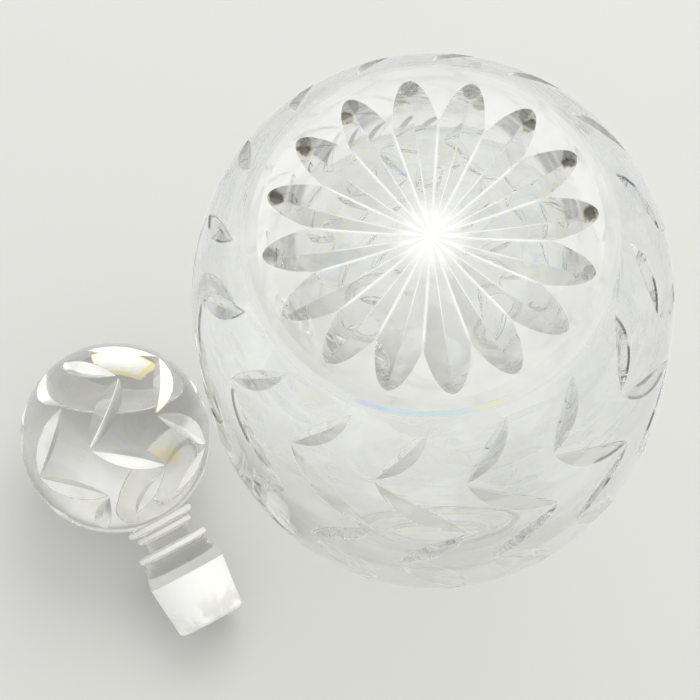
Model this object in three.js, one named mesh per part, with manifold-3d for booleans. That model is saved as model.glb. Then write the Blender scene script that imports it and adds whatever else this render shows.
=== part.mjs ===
// A cut glass decanter standing upside down on its mouth, with its ball stopper taken off and lying beside it.
// Millimetres, +Z up. The origin is on the table, in the middle of the pair's footprint.

import * as THREE from 'three';
import { mergeVertices } from 'three/addons/utils/BufferGeometryUtils.js';
import Module from 'manifold-3d';

const wasm = await Module();
wasm.setup();

// Decanter, measured upwards from its base as it is used
const bodyHeight = 205;
const landRadius = 43.2;
const footBevelWidth = 2.4;
const footBevelHeight = 0.9;
const footChamferWidth = 1.7;
const footChamferHeight = 2.6;
const bellyRadius = 63.6;
const bellyHeight = 84;
const footFullness = 4.8;
const wallThickness = 6.2;
const baseThickness = 17;
const floorFullness = 3.6;
const neckWall = 4.8;
const neckLength = 22;
const shoulderBlend = 9;
const neckBeadReach = 3.3;
const neckBeadWidth = 5;
const lipReach = 6.8;
const lipHeight = 8;
const lipEdgeRadius = 1.6;
const mouthChamfer = 0.8;

// Ground joint: the bore follows the plug with this gap all round
const plugClearance = 0.15;
const boreRunOut = 3;

// Stopper, measured along its axis from the middle of the ball
const ballRadius = 29;
const ballNeckRadius = 8.6;
const upperRingRadius = 10.6;
const upperRingWidth = 2.6;
const lowerRingRadius = 8.9;
const lowerRingWidth = 2.8;
const waistRadius = 7;
const waistLength = 3;
const collarRadius = 11.2;
const collarWidth = 2.6;
const grooveRadius = 10.2;
const grooveWidth = 1.1;
const coneLength = 6.4;
const coneTopRadius = 10.9;
const plugTopRadius = 12.2;
const plugEndRadius = 10.6;
const plugLength = 16.7;
const plugChamfer = 0.7;

// Where the stopper lies: the gap that its ball leaves to the belly seen from above, how far the ball is
// to one side of the decanter's axis, and the way its plug points
const lyingGap = 5.1;
const lyingAside = 2.9;
const plugHeading = -60.6;

// Star cut in the base
const petalCount = 16;
const petalTipMargin = 1.2;
const petalDepth = 2.6;
const petalDeepestAt = 24;
const petalCentreDepth = 1.2;
const petalFlank = 2.4;
const petalTurn = 7.9;

// Leaf cuts, in zigzag columns: each leaf runs on from the last one's end, by a rise and to a turn in degrees
const leafFlank = 1.8;
const leafTipGap = 0.7;
const columnCount = 16;
const columnStart = { at: 4.4, turn: 0 };
const columnLeaves = [
	{ rise: 16.6, turn: -14, depth: 1.6 },
	{ rise: 28.5, turn: 8.5, depth: 2.1 },
	{ rise: 28.5, turn: -8.5, depth: 2.1 },
	{ rise: 28.5, turn: 8.5, depth: 2 },
	{ rise: 26.5, turn: -8.5, depth: 1.8 },
];

// The ball's columns start near its top, and their rises are degrees from its top
const ballColumnCount = 8;
const ballColumnStart = { at: 20, turn: -20 };
const ballLeaves = [
	{ rise: 38, turn: 20, depth: 1.9 },
	{ rise: 32, turn: -20, depth: 2.1 },
	{ rise: 31, turn: 20, depth: 2.1 },
	{ rise: 23, turn: -20, depth: 1.5 },
];

// How finely round things are faceted
const bodyFacets = 48;
const stopperFacets = 24;
const footSteps = 6;
const shoulderSteps = 7;
const floorSteps = 7;
const edgeSteps = 2;
const ballSteps = 12;
const leafSteps = 4;
const petalSteps = 4;

// Finishes
const clearGlass = { color: 0xf1f3ef, roughness: 0.03, metalness: 0 };

// Shares that shape the curves and tools
const footRingCrowding = 1.6;
const beadFlat = 0.4;
const leafOverrun = 0.09;
const petalOverrun = 0.02;

// Sizes that follow from the ones above
const up = new THREE.Vector3(0, 0, 1);
const radians = THREE.MathUtils.degToRad;
const mouthRadius = plugTopRadius + plugClearance;
const plugTaper = (plugTopRadius - plugEndRadius) / plugLength;
const boreLength = plugLength + boreRunOut;
const boreRadius = mouthRadius - plugTaper * boreLength;
const neckRadius = mouthRadius + neckWall;
const lipRadius = neckRadius + lipReach;
const lipStart = bodyHeight - lipHeight;
const neckStart = lipStart - neckLength;
const footBevelRadius = landRadius + footBevelWidth;
const footEdgeRadius = footBevelRadius + footChamferWidth;
const petalLength = landRadius - petalTipMargin;
const shoulderRadius = neckRadius + shoulderBlend;
const shoulderHeight = neckStart - shoulderBlend / 2;
const shoulderSpan = (shoulderHeight - bellyHeight) / Math.sqrt(1 - (shoulderRadius / bellyRadius) ** 2);
const innerRadius = bellyRadius - wallThickness;
const innerSpan = shoulderSpan - wallThickness;
const ballBottom = -Math.sqrt(ballRadius ** 2 - ballNeckRadius ** 2);

/** Steps from 0 to 1, both ends included. */
function fractions(count) {
	return Array.from({ length: count + 1 }, (_, i) => i / count);
}

/** Points on a quarter circle or part of one, in the plane of a profile. */
function arc(centreX, centreY, radius, fromAngle, toAngle, steps) {
	return fractions(steps).map((f) => {
		const angle = fromAngle + (toAngle - fromAngle) * f;
		return new THREE.Vector2(centreX + radius * Math.cos(angle), centreY + radius * Math.sin(angle));
	});
}

/** A raised ring with a narrow flat crest, from its lower edge to its upper one. */
function bead(rootRadius, crestRadius, middle, width) {
	const half = width / 2;
	return [
		new THREE.Vector2(rootRadius, middle - half),
		new THREE.Vector2(crestRadius, middle - half * beadFlat),
		new THREE.Vector2(crestRadius, middle + half * beadFlat),
		new THREE.Vector2(rootRadius, middle + half),
	];
}

/** A smooth joining curve that leaves one point and reaches another along the given handles. */
function blend(start, startHandle, endHandle, end, steps) {
	return new THREE.CubicBezierCurve(start, startHandle, endHandle, end).getPoints(steps);
}

/** Turns a closed geometry into a solid for joining and cutting. */
function toSolid(geometry) {
	const bare = geometry.clone();
	bare.deleteAttribute('normal');
	bare.deleteAttribute('uv');
	const merged = mergeVertices(bare);
	const index = merged.index.array;
	const kept = [];
	for (let i = 0; i < index.length; i += 3) {
		const [a, b, c] = [index[i], index[i + 1], index[i + 2]];
		if (a !== b && b !== c && c !== a) kept.push(a, b, c);
	}
	return new wasm.Manifold(new wasm.Mesh({
		numProp: 3,
		vertProperties: new Float32Array(merged.attributes.position.array),
		triVerts: new Uint32Array(kept),
	}));
}

/** Turns a solid back into a geometry. */
function toGeometry(solid) {
	const mesh = solid.getMesh();
	const geometry = new THREE.BufferGeometry();
	geometry.setAttribute('position', new THREE.BufferAttribute(new Float32Array(mesh.vertProperties), 3));
	geometry.setIndex(new THREE.BufferAttribute(new Uint32Array(mesh.triVerts), 1));
	geometry.computeVertexNormals();
	return geometry;
}

/** Revolves a profile of radius and height about the Z axis. */
function revolve(profile, facets) {
	return toSolid(new THREE.LatheGeometry(profile, facets).rotateX(Math.PI / 2));
}

/** Outer radius of the cut body between its foot edge and its shoulder. */
function outerRadius(height) {
	if (height < bellyHeight) {
		const below = (bellyHeight - height) / (bellyHeight - footChamferHeight);
		return bellyRadius - (bellyRadius - footEdgeRadius) * below ** footFullness;
	}
	const above = (height - bellyHeight) / shoulderSpan;
	return bellyRadius * Math.sqrt(Math.max(0, 1 - above * above));
}

/** A quarter ellipse over the belly, from its full radius up to where it has narrowed to another. */
function shoulderCurve(fullRadius, span, endRadius, steps) {
	const endAngle = Math.acos(endRadius / fullRadius);
	return fractions(steps).map((f) => new THREE.Vector2(
		fullRadius * Math.cos(endAngle * f),
		bellyHeight + span * Math.sin(endAngle * f),
	));
}

/** The curve that carries a shoulder on into an upright wall of a smaller radius. */
function shoulderToWall(fullRadius, span, from, wallRadius, wallStart, steps) {
	const slope = (span / fullRadius) * (from.x / fullRadius) / ((from.y - bellyHeight) / span);
	const reach = (from.x - wallRadius) / 2;
	return blend(
		from,
		new THREE.Vector2(from.x - reach, from.y + reach * slope),
		new THREE.Vector2(wallRadius, wallStart - (wallStart - from.y) / 2),
		new THREE.Vector2(wallRadius, wallStart),
		steps,
	);
}

/** Outside of the body, from the middle of its base to the edge of its lip. */
function outsideProfile() {
	const foot = fractions(footSteps).map((f) => {
		const height = footChamferHeight + (bellyHeight - footChamferHeight) * f ** footRingCrowding;
		return new THREE.Vector2(outerRadius(height), height);
	});
	const shoulder = shoulderCurve(bellyRadius, shoulderSpan, shoulderRadius, shoulderSteps);
	const neck = shoulderToWall(bellyRadius, shoulderSpan, shoulder.at(-1), neckRadius, neckStart, edgeSteps);
	const beadMiddle = neckStart + neckLength / 3;
	const lip = blend(
		new THREE.Vector2(neckRadius, lipStart),
		new THREE.Vector2(neckRadius, lipStart + lipHeight / 3),
		new THREE.Vector2(lipRadius - lipEdgeRadius, lipStart + lipHeight / 3),
		new THREE.Vector2(lipRadius, bodyHeight - 2 * lipEdgeRadius),
		edgeSteps + 1,
	);
	const lipCentre = new THREE.Vector2(lipRadius - lipEdgeRadius, bodyHeight - lipEdgeRadius);
	return [
		new THREE.Vector2(0, 0),
		new THREE.Vector2(landRadius, 0),
		new THREE.Vector2(footBevelRadius, footBevelHeight),
		...foot,
		...shoulder.slice(1),
		...neck.slice(1),
		...bead(neckRadius, neckRadius + neckBeadReach, beadMiddle, neckBeadWidth),
		...lip,
		...arc(lipCentre.x, lipCentre.y, lipEdgeRadius, 0, Math.PI / 2, edgeSteps),
	];
}

/** Inside of the body, from its mouth down to the middle of its floor. */
function insideProfile() {
	const shoulder = shoulderCurve(innerRadius, innerSpan, boreRadius + shoulderBlend, shoulderSteps);
	const boreEnd = shoulder.at(-1).y + shoulderBlend;
	const throat = shoulderToWall(innerRadius, innerSpan, shoulder.at(-1), boreRadius, boreEnd, edgeSteps);
	const floorDrop = bellyHeight - baseThickness;
	const floor = fractions(floorSteps).slice(1, -1).map((f) => {
		const angle = f * Math.PI / 2;
		const radius = innerRadius * Math.cos(angle) ** (2 / floorFullness);
		return new THREE.Vector2(radius, bellyHeight - floorDrop * Math.sin(angle) ** (2 / floorFullness));
	});
	return [
		new THREE.Vector2(mouthRadius + mouthChamfer, bodyHeight),
		new THREE.Vector2(mouthRadius, bodyHeight - mouthChamfer),
		new THREE.Vector2(boreRadius, bodyHeight - boreLength),
		...throat.reverse(),
		...shoulder.slice(0, -1).reverse(),
		...floor,
		new THREE.Vector2(0, baseThickness),
	];
}

/** The stopper below its ball: a list of points from the middle of the plug's end up to the ball. */
function stemProfile() {
	const upperMiddle = ballBottom - upperRingWidth / 2;
	const lowerMiddle = upperMiddle - (upperRingWidth + lowerRingWidth) / 2;
	const waistEnd = lowerMiddle - lowerRingWidth / 2 - waistLength;
	const collarMiddle = waistEnd - collarWidth / 2;
	const grooveEnd = collarMiddle - collarWidth / 2 - grooveWidth;
	const plugTop = grooveEnd - coneLength;
	const plugEnd = plugTop - plugLength;
	const downwards = [
		...bead(ballNeckRadius, upperRingRadius, upperMiddle, upperRingWidth).reverse(),
		...bead(waistRadius, lowerRingRadius, lowerMiddle, lowerRingWidth).reverse(),
		new THREE.Vector2(waistRadius, waistEnd),
		...bead(grooveRadius, collarRadius, collarMiddle, collarWidth).reverse(),
		new THREE.Vector2(grooveRadius, grooveEnd),
		new THREE.Vector2(coneTopRadius, grooveEnd),
		new THREE.Vector2(plugTopRadius, plugTop),
		new THREE.Vector2(plugEndRadius, plugEnd + plugChamfer),
		new THREE.Vector2(plugEndRadius - plugChamfer, plugEnd),
		new THREE.Vector2(0, plugEnd),
	];
	return downwards.reverse();
}

/**
 * The tool of one mitre cut. Its keel runs along a path on a surface and dips under it by keelDepth(t),
 * and its flanks rise from the keel to a lid that stays clear above the surface.
 */
function mitreTool(placeAt, keelDepth, ts, lidHeight, flank) {
	const positions = [];
	const index = [];
	const push = (v) => {
		positions.push(v.x, v.y, v.z);
		return positions.length / 3 - 1;
	};
	const sections = ts.map((t, i) => {
		const { point, normal, along } = placeAt(t);
		const across = new THREE.Vector3().crossVectors(normal, along).normalize();
		if (i === 0 || i === ts.length - 1) {
			const tip = push(point.clone().addScaledVector(normal, lidHeight));
			return { keel: tip, left: tip, right: tip };
		}
		const depth = keelDepth(t);
		const halfWidth = (depth + lidHeight) * flank;
		const lid = point.clone().addScaledVector(normal, lidHeight);
		return {
			keel: push(point.clone().addScaledVector(normal, -depth)),
			left: push(lid.clone().addScaledVector(across, halfWidth)),
			right: push(lid.clone().addScaledVector(across, -halfWidth)),
		};
	});
	const triangle = (a, b, c) => {
		if (a !== b && b !== c && c !== a) index.push(a, b, c);
	};
	for (let i = 0; i + 1 < sections.length; i += 1) {
		const here = sections[i];
		const next = sections[i + 1];
		for (const [from, to] of [['keel', 'left'], ['left', 'right'], ['right', 'keel']]) {
			triangle(here[from], here[to], next[to]);
			triangle(here[from], next[to], next[from]);
		}
	}
	return new wasm.Manifold(new wasm.Mesh({
		numProp: 3,
		vertProperties: new Float32Array(positions),
		triVerts: new Uint32Array(index),
	}));
}

/** A leaf cut between two corners of a zigzag on any surface of revolution. */
function leafTool(surfaceAt, from, to, depth) {
	const start = surfaceAt(from).point;
	const end = surfaceAt(to).point;
	const gap = leafTipGap / start.distanceTo(end);
	const between = (t) => {
		const s = gap + (1 - 2 * gap) * t;
		return { rise: from.rise + (to.rise - from.rise) * s, turn: from.turn + (to.turn - from.turn) * s };
	};
	const placeAt = (t) => {
		const nudge = 0.01;
		const here = surfaceAt(between(t));
		const along = surfaceAt(between(t + nudge)).point.sub(surfaceAt(between(t - nudge)).point);
		return { ...here, along };
	};
	const keelDepth = (t) => 4 * depth * t * (1 - t);
	const lidHeight = -keelDepth(-leafOverrun);
	const ts = fractions(leafSteps).map((f) => -leafOverrun + (1 + 2 * leafOverrun) * f);
	return mitreTool(placeAt, keelDepth, ts, lidHeight, leafFlank);
}

/** A point and outward normal on the body, at a height and an angle. */
function bodySurface({ rise, turn }) {
	const nudge = 0.05;
	const radius = outerRadius(rise);
	const slope = (outerRadius(rise + nudge) - outerRadius(rise - nudge)) / (2 * nudge);
	const outward = new THREE.Vector3(Math.sin(turn), Math.cos(turn), 0);
	return {
		point: outward.clone().multiplyScalar(radius).setZ(rise),
		normal: outward.clone().addScaledVector(up, -slope).normalize(),
	};
}

/** A point and outward normal on the ball, at an angle from its top and an angle round its axis. */
function ballSurface({ rise, turn }) {
	const normal = new THREE.Vector3(
		Math.sin(rise) * Math.cos(turn),
		Math.sin(rise) * Math.sin(turn),
		Math.cos(rise),
	);
	return { point: normal.clone().multiplyScalar(ballRadius), normal };
}

/** All the leaves of a ring of zigzag columns, as one tool. */
function zigzagTool(surfaceAt, count, start, leaves, riseUnit) {
	const tools = [];
	for (let column = 0; column < count; column += 1) {
		const shift = column * 2 * Math.PI / count;
		let from = { rise: start.at * riseUnit, turn: radians(start.turn) + shift };
		for (const { rise, turn, depth } of leaves) {
			const to = { rise: from.rise + rise * riseUnit, turn: radians(turn) + shift };
			tools.push(leafTool(surfaceAt, from, to, depth));
			from = to;
		}
	}
	return wasm.Manifold.union(tools);
}

/** The star under the base: one long cut through the middle makes two opposite petals. */
function starTool() {
	const keelDepth = (t) => {
		const out = Math.abs(t);
		if (out < petalDeepestAt) {
			return petalCentreDepth + (petalDepth - petalCentreDepth) * Math.sin(out / petalDeepestAt * Math.PI / 2);
		}
		const left = 1 - ((out - petalDeepestAt) / (petalLength - petalDeepestAt)) ** 2;
		return petalDepth * Math.sign(left) * Math.sqrt(Math.abs(left));
	};
	const tip = petalLength * (1 + petalOverrun);
	const lidHeight = -keelDepth(tip);
	const inner = [petalDeepestAt / 2, petalDeepestAt];
	const outer = fractions(petalSteps).slice(1).map((f) => (
		petalDeepestAt + (petalLength - petalDeepestAt) * Math.sin(f * Math.PI / 2)
	));
	const half = [...inner, ...outer, tip];
	const ts = [...half.map((t) => -t).reverse(), 0, ...half];
	const tools = [];
	for (let pair = 0; pair < petalCount / 2; pair += 1) {
		const turn = radians(petalTurn) + pair * 2 * Math.PI / petalCount;
		const along = new THREE.Vector3(Math.sin(turn), Math.cos(turn), 0);
		const placeAt = (t) => ({
			point: along.clone().multiplyScalar(t),
			normal: up.clone().negate(),
			along,
		});
		tools.push(mitreTool(placeAt, keelDepth, ts, lidHeight, petalFlank));
	}
	return wasm.Manifold.union(tools);
}

function decanterGeometry() {
	const blank = revolve([...outsideProfile(), ...insideProfile()], bodyFacets);
	const zigzags = zigzagTool(bodySurface, columnCount, columnStart, columnLeaves, 1);
	return toGeometry(blank.subtract(zigzags).subtract(starTool()));
}

function stopperGeometry(stem) {
	const stemAngle = Math.atan2(ballBottom, ballNeckRadius);
	const ball = arc(0, 0, ballRadius, stemAngle, Math.PI / 2, ballSteps).slice(1, -1);
	const blank = revolve([...stem, ...ball, new THREE.Vector2(0, ballRadius)], stopperFacets);
	const zigzags = zigzagTool(ballSurface, ballColumnCount, ballColumnStart, ballLeaves, radians(1));
	return toGeometry(blank.subtract(zigzags));
}

/** How far the stopper's axis dips when its ball and the rim of its plug both touch the table. */
function lyingDip(rimReach) {
	return Math.asin(ballRadius / Math.hypot(rimReach, plugEndRadius)) - Math.atan2(plugEndRadius, rimReach);
}

function namedMesh(name, geometry, finish) {
	const mesh = new THREE.Mesh(geometry, new THREE.MeshStandardMaterial(finish));
	mesh.name = name;
	return mesh;
}

// The decanter, turned over on to its mouth
const decanter = new THREE.Group();
decanter.add(namedMesh('decanter_body', decanterGeometry(), clearGlass));
decanter.rotation.x = Math.PI;
decanter.position.z = bodyHeight;

// The stopper, tipped over so that its ball and plug rim touch the table, then turned to its heading
const stem = stemProfile();
const tipped = new THREE.Group();
tipped.add(namedMesh('stopper', stopperGeometry(stem), clearGlass));
tipped.rotation.y = lyingDip(-stem[0].y - plugChamfer) - Math.PI / 2;
const stopper = new THREE.Group();
stopper.add(tipped);
stopper.rotation.z = radians(plugHeading);
stopper.position.set(-(bellyRadius + lyingGap + ballRadius), lyingAside, ballRadius);

// The pair, moved so that the middle of its footprint is at the origin
const object = new THREE.Group();
object.add(decanter, stopper);
object.position.x = lyingGap / 2 + ballRadius;

export default object;
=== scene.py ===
# A cut glass decanter standing upside down on its mouth, with its ball stopper lying beside it.
# Metres, +Z up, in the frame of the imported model.
import math

import bpy
import numpy as np
from mathutils import Matrix, Vector


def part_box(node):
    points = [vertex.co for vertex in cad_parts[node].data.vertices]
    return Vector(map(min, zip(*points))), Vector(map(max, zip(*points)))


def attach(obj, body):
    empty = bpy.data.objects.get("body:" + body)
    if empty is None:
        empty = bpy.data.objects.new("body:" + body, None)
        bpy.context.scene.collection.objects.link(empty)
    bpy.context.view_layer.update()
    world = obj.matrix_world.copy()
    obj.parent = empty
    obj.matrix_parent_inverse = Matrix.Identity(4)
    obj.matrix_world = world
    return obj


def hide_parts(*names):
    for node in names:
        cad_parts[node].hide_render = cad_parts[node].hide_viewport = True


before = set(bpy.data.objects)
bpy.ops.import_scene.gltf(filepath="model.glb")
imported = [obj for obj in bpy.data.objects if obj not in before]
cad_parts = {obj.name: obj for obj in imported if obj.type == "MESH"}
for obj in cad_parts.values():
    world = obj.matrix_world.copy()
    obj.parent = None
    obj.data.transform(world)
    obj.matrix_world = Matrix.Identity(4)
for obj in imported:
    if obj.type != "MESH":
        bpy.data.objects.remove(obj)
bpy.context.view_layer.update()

MM = 0.001

# The decanter, measured from its base as it is used
BODY_LOW, BODY_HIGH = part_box("decanter_body")
AXIS_X = (BODY_LOW.x + BODY_HIGH.x) / 2
BODY_HEIGHT = BODY_HIGH.z
BELLY_RADIUS = (BODY_HIGH.x - BODY_LOW.x) / 2
BELLY_HEIGHT = 84 * MM
LAND_RADIUS = 43.2 * MM
FOOT_RADIUS = 45.6 * MM
FOOT_BEVEL_HEIGHT = 0.9 * MM
FOOT_CHAMFER_WIDTH = 1.7 * MM
FOOT_CHAMFER_HEIGHT = 2.6 * MM
FOOT_FULLNESS = 4.8
FOOT_ROUNDING = 0.5 * MM
WALL = 6.2 * MM
BASE_THICKNESS = 17 * MM
FLOOR_FULLNESS = 3.6
NECK_WALL = 4.8 * MM
NECK_LENGTH = 22 * MM
SHOULDER_BLEND = 9 * MM
BEAD_REACH = 3.3 * MM
BEAD_WIDTH = 5 * MM
LIP_REACH = 6.8 * MM
LIP_HEIGHT = 8 * MM
LIP_EDGE = 1.6 * MM
MOUTH_CHAMFER = 0.8 * MM
PLUG_CLEARANCE = 0.15 * MM
BORE_RUN_OUT = 3 * MM

# The stopper, measured along its axis from the middle of its ball
BALL_RADIUS = 29 * MM
BALL_NECK_RADIUS = 8.6 * MM
UPPER_RING = (10.6 * MM, 2.6 * MM)
LOWER_RING = (8.9 * MM, 2.8 * MM)
WAIST = (7 * MM, 3 * MM)
COLLAR = (11.2 * MM, 2.6 * MM)
GROOVE = (10.2 * MM, 1.1 * MM)
CONE_LENGTH = 6.4 * MM
CONE_TOP_RADIUS = 10.9 * MM
PLUG_TOP_RADIUS = 12.2 * MM
PLUG_END_RADIUS = 10.6 * MM
PLUG_LENGTH = 16.7 * MM
PLUG_CHAMFER = 0.7 * MM
LYING_GAP = 5.1 * MM
LYING_ASIDE = 2.9 * MM
PLUG_HEADING = math.radians(-60.6)

# Sizes that follow
MOUTH_RADIUS = PLUG_TOP_RADIUS + PLUG_CLEARANCE
BORE_LENGTH = PLUG_LENGTH + BORE_RUN_OUT
BORE_RADIUS = MOUTH_RADIUS - (PLUG_TOP_RADIUS - PLUG_END_RADIUS) / PLUG_LENGTH * BORE_LENGTH
NECK_RADIUS = MOUTH_RADIUS + NECK_WALL
LIP_RADIUS = NECK_RADIUS + LIP_REACH
LIP_START = BODY_HEIGHT - LIP_HEIGHT
NECK_START = LIP_START - NECK_LENGTH
SHOULDER_RADIUS = NECK_RADIUS + SHOULDER_BLEND
SHOULDER_SPAN = (NECK_START - SHOULDER_BLEND / 2 - BELLY_HEIGHT) / math.sqrt(
    1 - (SHOULDER_RADIUS / BELLY_RADIUS) ** 2
)
INNER_RADIUS = BELLY_RADIUS - WALL
INNER_SPAN = SHOULDER_SPAN - WALL
BALL_BOTTOM = -math.sqrt(BALL_RADIUS**2 - BALL_NECK_RADIUS**2)
BALL_X = AXIS_X - BELLY_RADIUS - LYING_GAP - BALL_RADIUS

# The star cut: 16 petals round the middle of the base
PETALS = 16
PETAL_LENGTH = LAND_RADIUS - 1.2 * MM
PETAL_DEPTH = 2.6 * MM
PETAL_DEEPEST_AT = 24 * MM
PETAL_CENTRE_DEPTH = 1.2 * MM
PETAL_FLANK = 2.4
PETAL_TURN = math.radians(7.9)
PETAL_OVERRUN = 0.3 * MM

# The leaf cuts in zigzag columns: each leaf is a rise, the turn that it ends at, and a depth
LEAF_FLANK = 1.8
LEAF_TIP_GAP = 0.5 * MM
COLUMNS = 16
COLUMN_START = (4.4 * MM, 0)
COLUMN_LEAVES = [
    (16.6 * MM, -14, 1.6 * MM),
    (28.5 * MM, 8.5, 2.1 * MM),
    (28.5 * MM, -8.5, 2.1 * MM),
    (28.5 * MM, 8.5, 2.0 * MM),
    (26.5 * MM, -8.5, 1.8 * MM),
]
BALL_COLUMNS = 8
BALL_COLUMN_START = (math.radians(20), -20)
BALL_LEAVES = [
    (math.radians(38), 20, 1.9 * MM),
    (math.radians(32), -20, 2.1 * MM),
    (math.radians(31), 20, 2.1 * MM),
    (math.radians(23), -20, 1.5 * MM),
]

# How finely the glass and the table are made
ROUND_STEPS = 384
BALL_ROUND_STEPS = 288
LAND_POINTS = 20
FOOT_POINTS = 61
FLOOR_POINTS = 90
ROUNDING_STEPS = 5
SHOULDER_STEPS = 60
INNER_SHOULDER_STEPS = 50
BLEND_STEPS = 14
LIP_EDGE_STEPS = 8
BEAD_STEPS = 10
CONE_STEPS = 12
BALL_STEPS = 130
LEAF_STEPS = 26
PETAL_STEPS = 30
TABLE_STEPS = 96
SHARP_ANGLE = math.radians(13)
ON_AXIS = 1e-7

# Forms of beads and keels
BEAD_FULLNESS = 0.8
LEAF_OVERRUN = 0.06
KEEL_ROUNDING = 0.22 * MM
KEEL_SECTION = [(-1, 1), (-0.5, 0.62), (0, 0.5), (0.5, 0.62), (1, 1)]

# The glass. Ripple and grain are a strength, a scale and a height
CRYSTAL_IOR = 1.545
CRYSTAL_TINT = (0.99, 0.995, 0.985, 1)
GROUND_WHITE = (0.98, 0.98, 0.965, 1)
GROUND_ROUGHNESS = 0.6
GLOW_COLOUR = (1, 1, 0.985, 1)
POLISH_RIPPLE = (0.1, 60, 0.1 * MM)
GROUND_GRAIN = (0.5, 2500, 0.05 * MM)
MISTY_THROUGH = 0.6
WHITE_THROUGH = 0.06
DECANTER_LETS_THROUGH = 0.955
STOPPER_LETS_THROUGH = 0.66
SHADOW_WARMTH = 0.99
# A painted glow of the ground faces, which are no lamp
DECANTER_GLOW = 0
STOPPER_GLOW = 0.08
# Painted prismatic fringes of split light, yellow and blue
FRINGE_COLOURS = [
    (0, (1, 1, 1)),
    (0.6, (1, 1, 1)),
    (0.625, (1, 0.93, 0.72)),
    (0.645, (0.96, 1, 0.9)),
    (0.67, (0.72, 0.84, 1)),
    (0.7, (1, 1, 1)),
]

# Noises, most of which break up painted highlights, painted shades and painted colours: a scale and
# a detail, and for patches also the noise where they start, and how softly
BLOTCHES = (450, 2)
RINGS = (650, 0)
STREAKS = (260, 1, 0.52, 0.1)
SLIVERS = (66, 1, 0.51, 0.03)
GLINT_STREAKS = (70, 1, 0.6, 0.05)
LAND_HIGHLIGHT_PATCHES = (90, 1, 0.47, 0.07)
HIGHLIGHT_MOTTLES = (75, 1, 0.44, 0.07)
BALL_PATCHES = (52, 1, 0.5, 0.06)
END_CLEAR_PATCHES = (170, 2, 0.5, 0.1)
PRISM_PATCHES = (150, 1, 0.42, 0.06)

# Painted highlights and painted shades of the star, and its white middle. A pair is where something
# ends, and how softly
STAR_DEPTH = (4 * MM, 0.5 * MM)
LAND_LEVEL = (0.05 * MM, 0.04 * MM)
STAR_BACK = (-6 * MM, 16 * MM)
STAR_SIDES = (15 * MM, 8 * MM)
STAR_CENTRE = (8.2 * MM, 4.2 * MM)
STAR_CENTRE_WHITE = 0.92
RIDGE_LINE = (0.36 * MM, 0.26 * MM)
RIDGE_END = (29 * MM, 4 * MM)
RIDGE_HIGHLIGHT = 0.72
KEEL_LINE = (0.16 * MM, 0.14 * MM)
KEEL_END = (24 * MM, 8 * MM)
KEEL_HIGHLIGHT = 0.6
PETAL_SHADE = 0.11
PETAL_MIDDLE = (22 * MM, 14 * MM)
TIP_LENGTH = 8 * MM
TIP_SHADE = 0.2
# Painted shade at the petal tips: grey caps, grey bands and black spots
CAP_OUT = 40.5 * MM
CAP_RADIUS = 2.1 * MM
CAP_BLOTCHES = 0.5
CAP_EDGE = (1, 0.15)
CAP_RIM_OUTSIDE = (1.2, 0.1)
CAP_RIM_INSIDE = (0.8, 0.1)
CAP_SHADE = 0.5
BAND_LENGTH = 8.5 * MM
BAND_GAPS = (0.42, 0.12)
BAND_SHADE = 0.62
SPOT_OUT = 40.1 * MM
SPOT_RADIUS = 1.55 * MM
SPOT_BLOTCHES = 3.2
SPOT_ASIDE = 0.4 * MM
SPOT_SHIFT_IN = 2.7 * MM
SPOT_SHIFT_ASIDE = 3.6 * MM
SPOT_EDGE = (1.15, 0.45)
SPOT_GAPS = (0.42, 0.08)
SPOT_SHADE = 0.46
# Painted yellow fringe of split light round the black spots
YELLOW_EDGE = (2.6, 0.9)
SPOT_YELLOW = (1, 0.95, 0.72, 1)
LAND_HIGHLIGHT_MIST = 0.3
LAND_HIGHLIGHT = 0.22
CHAMFER_FRONT = (8 * MM, 14 * MM)

# Painted highlights, painted shades and a painted rainbow on the wall, its leaf cuts and the foot
WALL_BACK = (18 * MM, 14 * MM)
WALL_SIDES = (38 * MM, 6 * MM)
LEAF_START = (0.08 * MM, 0.06 * MM)
LEAF_EDGE = (0.35 * MM, 0.1 * MM)
LEAF_RIM = (0.52 * MM, 0.12 * MM)
LEAF_KEEL = (1.65 * MM, 0.12 * MM)
LEAF_BOTTOM = (3.4 * MM, 0.2 * MM)
LEAVES_END = (40 * MM, 2 * MM)
BACK_RIM_DEPTH = (24 * MM, 3 * MM)
# Painted shade on the leaf flanks, and painted highlights on their edges and on lower flanks turned
# right
UPPER_FLANK_SHADE = 0.04
LOWER_FLANK_SHADE = 0.3
BACK_FLANK_SHADE = 0.65
SLIVER_SHADE = 0.96
LEAF_EDGE_HIGHLIGHT = 0.6
PALE_FLANK_HIGHLIGHT = 0.28
GLINT_STREAKS_END = (34 * MM, 6 * MM)
GLINT_STREAK_HIGHLIGHT = 0.3
# Painted shade of the wall: at grazing edges, in facet-like patches and on the far wall
EDGE_SHADE = 0.62
FACET_SCALE = 62
FACET_SMOOTHNESS = 0.12
FACET_SHADE = 0.14
FAR_WALL = (36 * MM, 12 * MM)
FAR_WALL_DEPTH = (32 * MM, 10 * MM)
FAR_WALL_SHADE = 0.1
# A painted rainbow of split light on the near part of the foot's chamfer
FOOT_COLOUR_REACH = math.radians(27)
FOOT_RAINBOW = [
    (0, (1, 0.9, 0.55)),
    (0.1, (0.62, 0.55, 1)),
    (0.22, (0.55, 0.7, 1)),
    (0.5, (0.55, 0.95, 1)),
    (0.7, (0.7, 0.86, 1)),
    (0.85, (1, 0.95, 0.45)),
    (1, (1, 0.86, 0.66)),
]

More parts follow.
